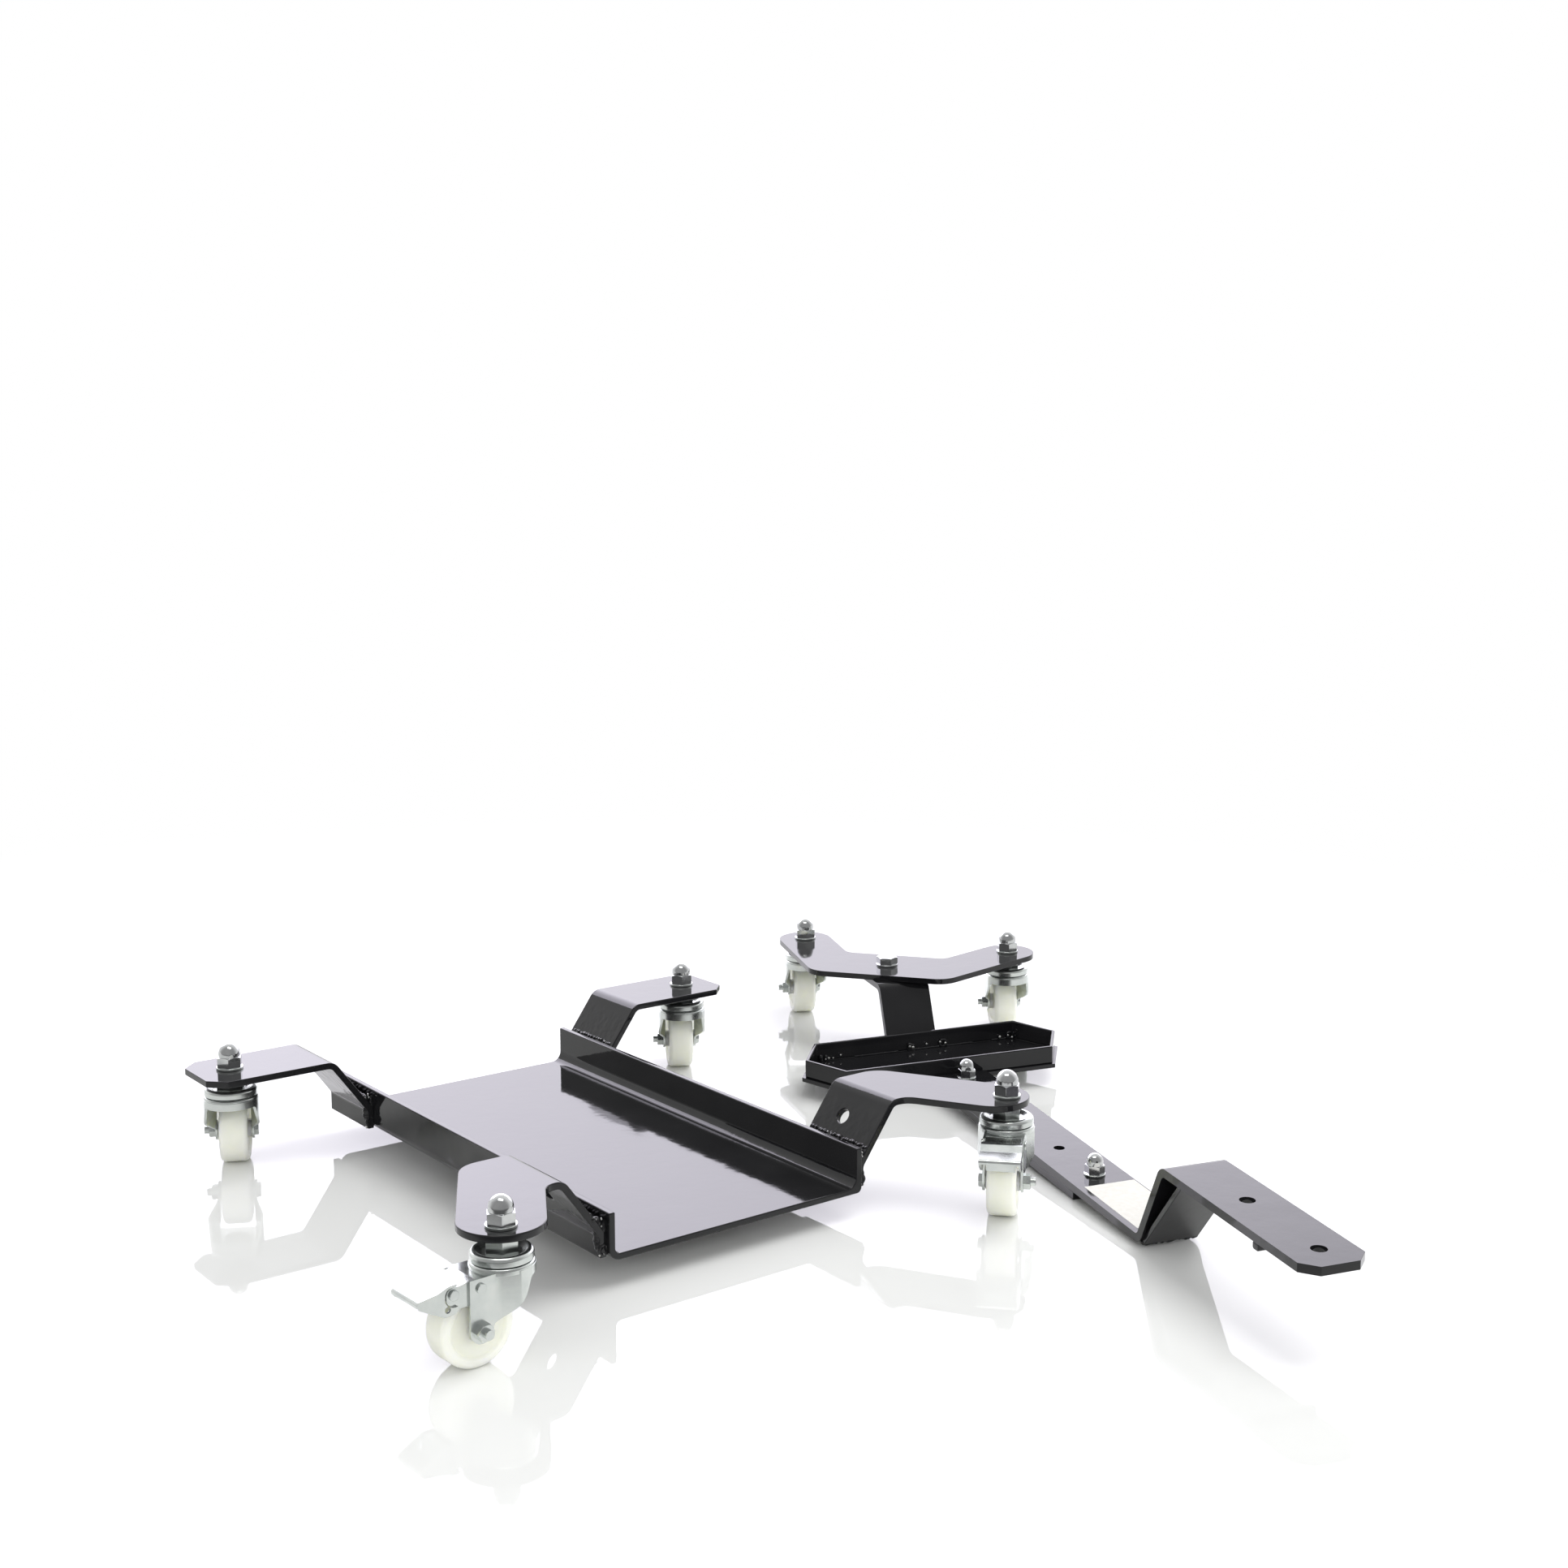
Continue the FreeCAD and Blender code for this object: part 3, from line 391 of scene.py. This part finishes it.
def drop(shell, centre, radius, rng, wander=0.0):
    centre = Vector(centre) + Vector([rng.uniform(-1, 1) * radius * wander for axis in range(3)])
    size = radius * (1 + rng.uniform(-1, 1) * weld["swell"])
    bmesh.ops.create_icosphere(shell, subdivisions=weld["dropCuts"], radius=size * millimetre,
                               matrix=Matrix.Translation(centre * millimetre))


def layBead(shell, start, finish, radius, rng, wander=weld["wander"]):
    start, finish = Vector(start), Vector(finish)
    count = max(1, round((finish - start).length / (radius * weld["step"])))
    for index in range(count + 1):
        drop(shell, start.lerp(finish, index / count), radius, rng, wander)


def layCrater(shell, centre, first, second, reach, radius, rng):
    count = round(2 * math.pi * reach / (radius * weld["step"]))
    for index in range(count):
        angle = 2 * math.pi * index / count
        place = Vector(centre) + first * reach * math.cos(angle) + second * reach * math.sin(angle)
        drop(shell, place, radius, rng)


def scatter(shell, start, finish, count, radius, rng):
    start, finish = Vector(start), Vector(finish)
    for speck in range(count):
        place = start.lerp(finish, rng.random())
        drop(shell, place, radius * rng.uniform(*weld["speckSpread"]), rng, weld["speckWander"])


def finishWeld(name, shell, body, place=None):
    if place:
        bmesh.ops.transform(shell, matrix=place, verts=shell.verts)
    piece = linkPiece(name, shell, body, finishes["paint"])
    melt = piece.modifiers.new("melt", "REMESH")
    melt.mode = "VOXEL"
    melt.voxel_size = weld["grain"]
    melt.use_smooth_shade = True
    settle = piece.modifiers.new("settle", "SMOOTH")
    settle.factor = weld["settleBy"]
    settle.iterations = weld["settleTimes"]
    return piece


# the specks take the spatter finish, whose bright colour is a painted highlight
def finishSpatter(name, shell, body, place=None):
    if place:
        bmesh.ops.transform(shell, matrix=place, verts=shell.verts)
    return linkPiece(name, shell, body, finishes["spatter"])


# arms on the flanges, in millimetres: the groove behind the rim filled, a thin bead above it,
# lumps at each leg's front end, and a fine bead at the upper bend of the front arms
armWeld = {
    "front": {"from": 131.5, "to": 194.5},
    "rear": {"from": -199.0, "to": -138.0},
    "fillOut": 110.6, "fillHeight": 20.6, "fillRadius": 4.0, "fillInset": 3.0,
    "rimOut": 115.2, "rimHeight": 25.0, "rimRadius": 1.7, "rimWander": 0.45, "rimSpatter": 12,
    "loopInset": 6.0, "loopShare": 0.7,
    "edgeOut": (106.6, 109.6), "edgeLow": 5.0, "edgeHigh": 19.0, "edgeRadius": 3.3, "edgeWander": 0.2,
    "edgeSunk": 2.2, "edgeProud": 1.0, "footSpatter": 5, "headSpatter": 3,
    "craterHeight": 3.4, "craterReach": 3.4, "craterRadius": 1.2,
    "bendOut": 133.9, "bendHeight": 48.9, "bendRadius": 0.55, "bendWander": 0.3,
    "bendClear": 2.0, "bendSpatter": 9, "strayFrom": 1.0, "strayTo": 4.0, "strayShare": 1.4,
    "speck": 1.0,
}


def weldArm(end, side, sign):
    rng = random.Random(end + side)
    shell, specks = bmesh.new(), bmesh.new()
    back, front = armWeld[end]["from"], armWeld[end]["to"]
    speck, reach, radius = armWeld["speck"], armWeld["craterReach"], armWeld["craterRadius"]
    slopeOut, slopeHeight = [armWeld["bend" + way] - armWeld["rim" + way] for way in ("Out", "Height")]
    slopeUp = Vector((0, sign * slopeOut, slopeHeight)).normalized()

    def run(line, start=back, finish=front):
        out, height = sign * armWeld[line + "Out"], armWeld[line + "Height"]
        return (start, out, height), (finish, out, height)

    # groove and rim, with the loop where the bead stops
    layBead(shell, *run("fill", back + armWeld["fillInset"], front - armWeld["fillInset"]),
            armWeld["fillRadius"], rng)
    layBead(shell, *run("rim"), armWeld["rimRadius"], rng, armWeld["rimWander"])
    loop = Vector(run("rim", front - armWeld["loopInset"])[0]) + slopeUp * reach
    layCrater(shell, loop, axisX, slopeUp, reach, radius * armWeld["loopShare"], rng)
    scatter(specks, *run("rim"), armWeld["rimSpatter"], speck, rng)

    # front end of the leg
    sunk, proud = front - armWeld["edgeSunk"], front + armWeld["edgeProud"]
    inner, outer = [sign * out for out in armWeld["edgeOut"]]
    low, high = armWeld["edgeLow"], armWeld["edgeHigh"]
    for out in (inner, outer):
        layBead(shell, (sunk, out, low), (sunk, out, high), armWeld["edgeRadius"], rng, armWeld["edgeWander"])
    foot = (proud, (inner + outer) / 2, armWeld["craterHeight"])
    layCrater(shell, foot, axisY, axisZ, reach, radius, rng)
    scatter(specks, (proud, inner, 0), (proud, 2 * outer - inner, 0), armWeld["footSpatter"], speck, rng)
    head = (proud, outer, armWeld["rimHeight"])
    scatter(specks, (proud, outer, high), head, armWeld["headSpatter"], speck, rng)

    if end == "front":
        middle = mounts["front_" + side + "_slope_hole"]["pos_m"][0] / millimetre
        layBead(shell, *run("bend", middle), armWeld["bendRadius"], rng, armWeld["bendWander"])
        scatter(specks, *run("bend", middle + armWeld["bendClear"]), armWeld["bendSpatter"], speck, rng)
        stray = run("bend", back + armWeld["strayFrom"], back + armWeld["strayTo"])
        scatter(specks, *stray, 1, speck * armWeld["strayShare"], rng)
    finishWeld(end + "_" + side + "_weld", shell, "tray_frame")
    finishSpatter(end + "_" + side + "_spatter", specks, "tray_frame")


# tacks inside the stand tray along its back wall, in the stand arm's own directions
trayWeld = {
    "backWall": 87.6, "floor": 26.6,
    "lines": [(-65, -25), (-9, 14), (22, 46), (66, 79)], "lineRadius": 1.0,
    "lumps": [(-97, 2.0), (-92, 1.7), (-14, 2.3), (-11, 2.0)],
    "craters": [(18, 3.0), (83, 2.8), (90, 3.0)], "craterRadius": 1.2, "craterProud": 0.5,
    "specks": [-93, -90, -86, -79, -14, -11, 2, 15, 20, 73, 81, 85, 91, 93],
    "speck": 1.5, "speckProud": 1.4, "speckRise": (0.8, 4.5), "speckSpread": (0.6, 1.0),
}


def addTrayWelds():
    rng = random.Random("stand tray")
    shell, specks = bmesh.new(), bmesh.new()
    wall, floor = trayWeld["backWall"], trayWeld["floor"]
    for start, finish in trayWeld["lines"]:
        layBead(shell, (wall, start, floor), (wall, finish, floor), trayWeld["lineRadius"], rng)
    for across, radius in trayWeld["lumps"]:
        layBead(shell, (wall, across, floor), (wall, across, floor + 2 * radius), radius, rng)
    for across, reach in trayWeld["craters"]:
        centre = (wall + trayWeld["craterProud"], across, floor + reach)
        layCrater(shell, centre, axisY, axisZ, reach, trayWeld["craterRadius"], rng)
    for across in trayWeld["specks"]:
        place = (wall + trayWeld["speckProud"], across, floor + rng.uniform(*trayWeld["speckRise"]))
        drop(specks, place, trayWeld["speck"] * rng.uniform(*trayWeld["speckSpread"]), rng)
    finishWeld("stand_tray_weld", shell, "stand_arm", standPlace)
    finishSpatter("stand_tray_spatter", specks, "stand_arm", standPlace)


# hook brace: beads at its head and foot
braceWeld = {"head": (569.6, 81.6), "foot": (521.5, 23.6), "half": 20.0, "radius": 2.2}


def addBraceWelds():
    rng = random.Random("hook brace")
    shell = bmesh.new()
    half = braceWeld["half"]
    for along, height in (braceWeld["head"], braceWeld["foot"]):
        layBead(shell, (along, -half, height), (along, half, height), braceWeld["radius"], rng)
    finishWeld("hook_brace_weld", shell, "stand_arm", standPlace)


for end in ("front", "rear"):
    for side, sign in (("left", -1), ("right", 1)):
        weldArm(end, side, sign)
addTrayWelds()
addBraceWelds()
print("welds laid")

# bare paper label on the upper bar, just before its bend
label = {"from": 430.0, "to": 509.5, "near": -18.2, "far": 22.3, "top": 28.9, "thick": 0.12,
         "round": 0.8, "roundCuts": 4}


def addLabel():
    shell = bmesh.new()
    bmesh.ops.create_cube(shell, size=1)
    size = Vector((label["to"] - label["from"], label["far"] - label["near"], label["thick"]))
    bmesh.ops.scale(shell, vec=size, verts=shell.verts)
    corners = [edge for edge in shell.edges if abs((edge.verts[0].co - edge.verts[1].co).z) > size.z / 2]
    bmesh.ops.bevel(shell, geom=corners, offset=label["round"], offset_type="OFFSET", affect="EDGES",
                    segments=label["roundCuts"], profile=0.5, material=-1)
    lowCorner = Vector((label["from"], label["near"], label["top"]))
    bmesh.ops.translate(shell, verts=shell.verts, vec=lowCorner + size / 2)
    bmesh.ops.scale(shell, vec=(millimetre, millimetre, millimetre), verts=shell.verts)
    bmesh.ops.transform(shell, matrix=standPlace, verts=shell.verts)
    linkPiece("paper_label", shell, "stand_arm", finishes["paper"], smooth=False)


addLabel()
print("label laid")

# floor, world and lamps
stageSet = {
    "ground": -0.023,
    "reach": 30.0,
    "floorColour": (0.78, 0.785, 0.78),
    "floorGloss": 0.03,
    "floorRefraction": 1.45,
    "fade": (0.9, 1.6, 0.0, 1.0),
    # painted shade on the table's colour, darker towards the camera side for every ray but the camera's own
    "frontPaintedShade": (0.40, 0.54, 1.0, 0.06),
    "ambient": 0.60,
    "room": (-0.4, 0.5, 0.38, 1.0),
}
levelAhead = Vector((view["ahead"][0], view["ahead"][1], 0)).normalized()


def cameraRay(tree):
    return tree.nodes.new("ShaderNodeLightPath").outputs["Is Camera Ray"]


def seenDirectly(tree):
    path = tree.nodes.new("ShaderNodeLightPath").outputs
    mirrored = times(tree, path["Is Glossy Ray"], path["Is Transmission Ray"], "MAXIMUM")
    return times(tree, path["Is Camera Ray"], mirrored, "MAXIMUM")


def makeTable():
    material, tree, shader = newFinish("whiteTable")
    # painted shade: for every ray but the camera's own, the table's colour darkens in front of the frame,
    # standing in for the dark room
    paintedShade = ease(tree, reachAlong(tree, objectPoint(tree), -levelAhead), stageSet["frontPaintedShade"])
    level = times(tree, cameraRay(tree), paintedShade, "MAXIMUM")
    tint = tree.nodes.new("ShaderNodeVectorMath")
    tint.operation = "SCALE"
    tint.inputs[0].default_value = stageSet["floorColour"]
    tree.links.new(level, tint.inputs["Scale"])
    tree.links.new(tint.outputs["Vector"], shader.inputs["Base Color"])
    shader.inputs["Roughness"].default_value = stageSet["floorGloss"]
    shader.inputs["IOR"].default_value = stageSet["floorRefraction"]
    # far from the object the table runs into the white background
    distance = tree.nodes.new("ShaderNodeVectorMath")
    distance.operation = "LENGTH"
    tree.links.new(objectPoint(tree), distance.inputs[0])
    fade = ease(tree, distance.outputs["Value"], stageSet["fade"])
    white = tree.nodes.new("ShaderNodeEmission")
    white.inputs["Strength"].default_value = 1.0
    mixed = tree.nodes.new("ShaderNodeMixShader")
    tree.links.new(times(tree, fade, times(tree, seenDirectly(tree), level)), mixed.inputs["Fac"])
    tree.links.new(shader.outputs["BSDF"], mixed.inputs[1])
    tree.links.new(white.outputs["Emission"], mixed.inputs[2])
    tree.links.new(mixed.outputs["Shader"], tree.nodes["Material Output"].inputs["Surface"])
    return material


def addFloor():
    sheet = bmesh.new()
    bmesh.ops.create_grid(sheet, x_segments=1, y_segments=1, size=stageSet["reach"])
    bmesh.ops.translate(sheet, verts=sheet.verts, vec=(0, 0, stageSet["ground"]))
    mesh = bpy.data.meshes.new("floor")
    sheet.to_mesh(mesh)
    sheet.free()
    floor = bpy.data.objects.new("floor", mesh)
    scene.collection.objects.link(floor)
    dress(floor, makeTable())


def addWorld():
    world = bpy.data.worlds.new("studio")
    scene.world = world
    world.use_nodes = True
    tree = world.node_tree
    back = tree.nodes["Background"]
    soft = tree.nodes.new("ShaderNodeBackground")
    mix = tree.nodes.new("ShaderNodeMixShader")
    soft.inputs["Color"].default_value = (1, 1, 1, 1)
    soft.inputs["Strength"].default_value = stageSet["ambient"]
    back.inputs["Color"].default_value = (1, 1, 1, 1)
    # white background, mirrored by the metal; the room on the camera's side is dark
    outward = tree.nodes.new("ShaderNodeTexCoord").outputs["Generated"]
    room = ease(tree, reachAlong(tree, outward, levelAhead), stageSet["room"])
    tree.links.new(times(tree, cameraRay(tree), room, "MAXIMUM"), back.inputs["Strength"])
    tree.links.new(seenDirectly(tree), mix.inputs["Fac"])
    tree.links.new(soft.outputs[0], mix.inputs[1])
    tree.links.new(back.outputs[0], mix.inputs[2])
    tree.links.new(mix.outputs[0], tree.nodes["World Output"].inputs["Surface"])


# lit False keeps a lamp off matt surfaces, mirrored False keeps it out of gloss
lamps = {
    "rearSoftbox": {"place": (-1.98, 2.37, 1.35), "aim": (0.77, 0.97, 0.0), "size": (7.0, 2.4),
                    "watts": 188.0, "colour": (0.90, 0.86, 1.0), "shade": True, "lit": False},
    "topSoftbox": {"place": (0.5, 1.0, 2.4), "aim": (0.1, 0.1, 0.0), "size": (1.8, 1.8),
                   "watts": 40.0, "colour": (1.0, 1.0, 0.99), "mirrored": False},
    "topGlint": {"place": (0.5, -0.3, 2.2), "aim": (0.1, 0.1, 0.0), "size": (1.4, 0.7),
                 "watts": 11.0, "colour": (1.0, 1.0, 0.99), "lit": False},
    "leftFill": {"place": (0.2, -2.4, 0.9), "aim": (0.1, 0.0, 0.0), "size": (1.8, 1.2),
                 "watts": 12.0, "colour": (0.99, 1.0, 0.99), "mirrored": False},
    "rightFill": {"place": (1.6, 2.2, 0.5), "aim": (0.2, 0.1, 0.0), "size": (1.8, 0.9),
                  "watts": 30.0, "colour": (0.99, 1.0, 0.99), "mirrored": False},
    "frontFill": {"place": (2.4, -0.9, 1.1), "aim": (0.0, 0.3, 0.0), "size": (3.0, 1.4),
                  "watts": 26.0, "colour": (1.0, 1.0, 0.99), "mirrored": False},
}
lampShade = {"X": (0.38, 0.73, 0.5, 1.0), "Y": (0.1, 0.45, 0.35, 1.0)}


# the rear softbox grows dimmer to the right and towards the table
def shadeLamp(data):
    data.use_nodes = True
    tree = data.node_tree
    place = tree.nodes.new("ShaderNodeNewGeometry").outputs["Parametric"]
    levels = [ease(tree, partOf(tree, place, way), run, "LINEAR") for way, run in lampShade.items()]
    tree.links.new(times(tree, *levels), tree.nodes["Emission"].inputs["Strength"])


def addLamps():
    for name, lamp in lamps.items():
        data = bpy.data.lights.new(name, "AREA")
        data.shape = "RECTANGLE"
        data.size, data.size_y = lamp["size"]
        data.energy = lamp["watts"]
        data.color = lamp["colour"]
        if lamp.get("shade"):
            shadeLamp(data)
        thing = bpy.data.objects.new(name, data)
        scene.collection.objects.link(thing)
        thing.location = lamp["place"]
        aim = Vector(lamp["aim"]) - Vector(lamp["place"])
        thing.rotation_euler = aim.to_track_quat("-Z", "Y").to_euler()
        thing.visible_camera = False
        thing.visible_glossy = lamp.get("mirrored", True)
        thing.visible_diffuse = lamp.get("lit", True)


addFloor()
addWorld()
addLamps()
print("stage set")
